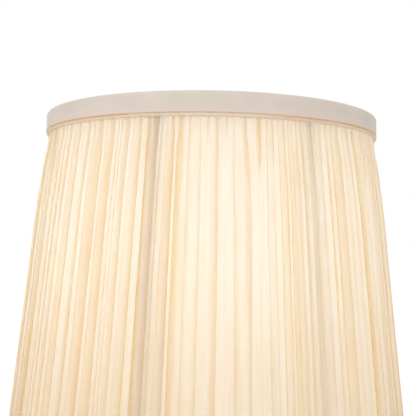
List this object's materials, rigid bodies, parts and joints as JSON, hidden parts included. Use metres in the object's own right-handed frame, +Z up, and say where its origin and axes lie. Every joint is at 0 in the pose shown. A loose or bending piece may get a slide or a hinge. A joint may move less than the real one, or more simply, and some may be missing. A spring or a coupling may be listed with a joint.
{
  "type": "lamp shade",
  "caption": "Round tapered lamp shade of gathered cloth over a lined wire frame, with banded edges and a fitter that flips between a dropped and a raised position.",
  "frame": {"origin": "centre of the bottom edge, on the surface the shade stands on", "axes": "+Z up along the shade's axis, -Y to the front, +X to the right seen from the front; the fitter's pivots lie along X"},
  "size_m": [0.36, 0.36, 0.3],
  "materials": {
    "cover_cloth": "matt, thin ivory cloth in fine gathers",
    "lining_cloth": "matt, plain off-white weave",
    "trim_cloth": "matt, beige-grey folded cloth band",
    "piping_cloth": "matt, pale beige rolled cloth",
    "cotton_tape": "matt cotton tape, wound",
    "frame_wire": "white powder coat, semi-matt",
    "fitter_steel": "white powder coat, semi-matt",
    "cap_steel": "bright zinc",
    "reducer_plastic": "white moulded, fine texture"
  },
  "bodies": {
    "shade": {"top_ring": "frame_wire", "bottom_ring": "frame_wire", "rib_1": "frame_wire", "rib_2": "frame_wire", "rib_3": "frame_wire", "rib_4": "frame_wire", "rib_5": "frame_wire", "rib_6": "frame_wire", "rib_7": "frame_wire", "rib_8": "frame_wire", "top_ring_binding": "cotton_tape", "bottom_ring_binding": "cotton_tape", "lining": "lining_cloth", "pleated_cover": "cover_cloth", "top_trim_band": "trim_cloth", "bottom_trim_band": "trim_cloth", "top_piping": "piping_cloth", "bottom_piping": "piping_cloth", "fitter_lug_left": "fitter_steel", "fitter_lug_right": "fitter_steel"},
    "fitter": {"fitter_ring": "fitter_steel", "fitter_arm_left": "fitter_steel", "fitter_arm_right": "fitter_steel", "pivot_cap_left": "cap_steel", "pivot_cap_right": "cap_steel", "reducer_ring": "reducer_plastic"}
  },
  "joints": [
    {"name": "fitter_flip", "type": "hinge", "parent": "shade", "child": "fitter", "pos_m": [0, 0, 0.287], "axis": [1, 0, 0], "range_deg": [0, 180]}
  ]
}
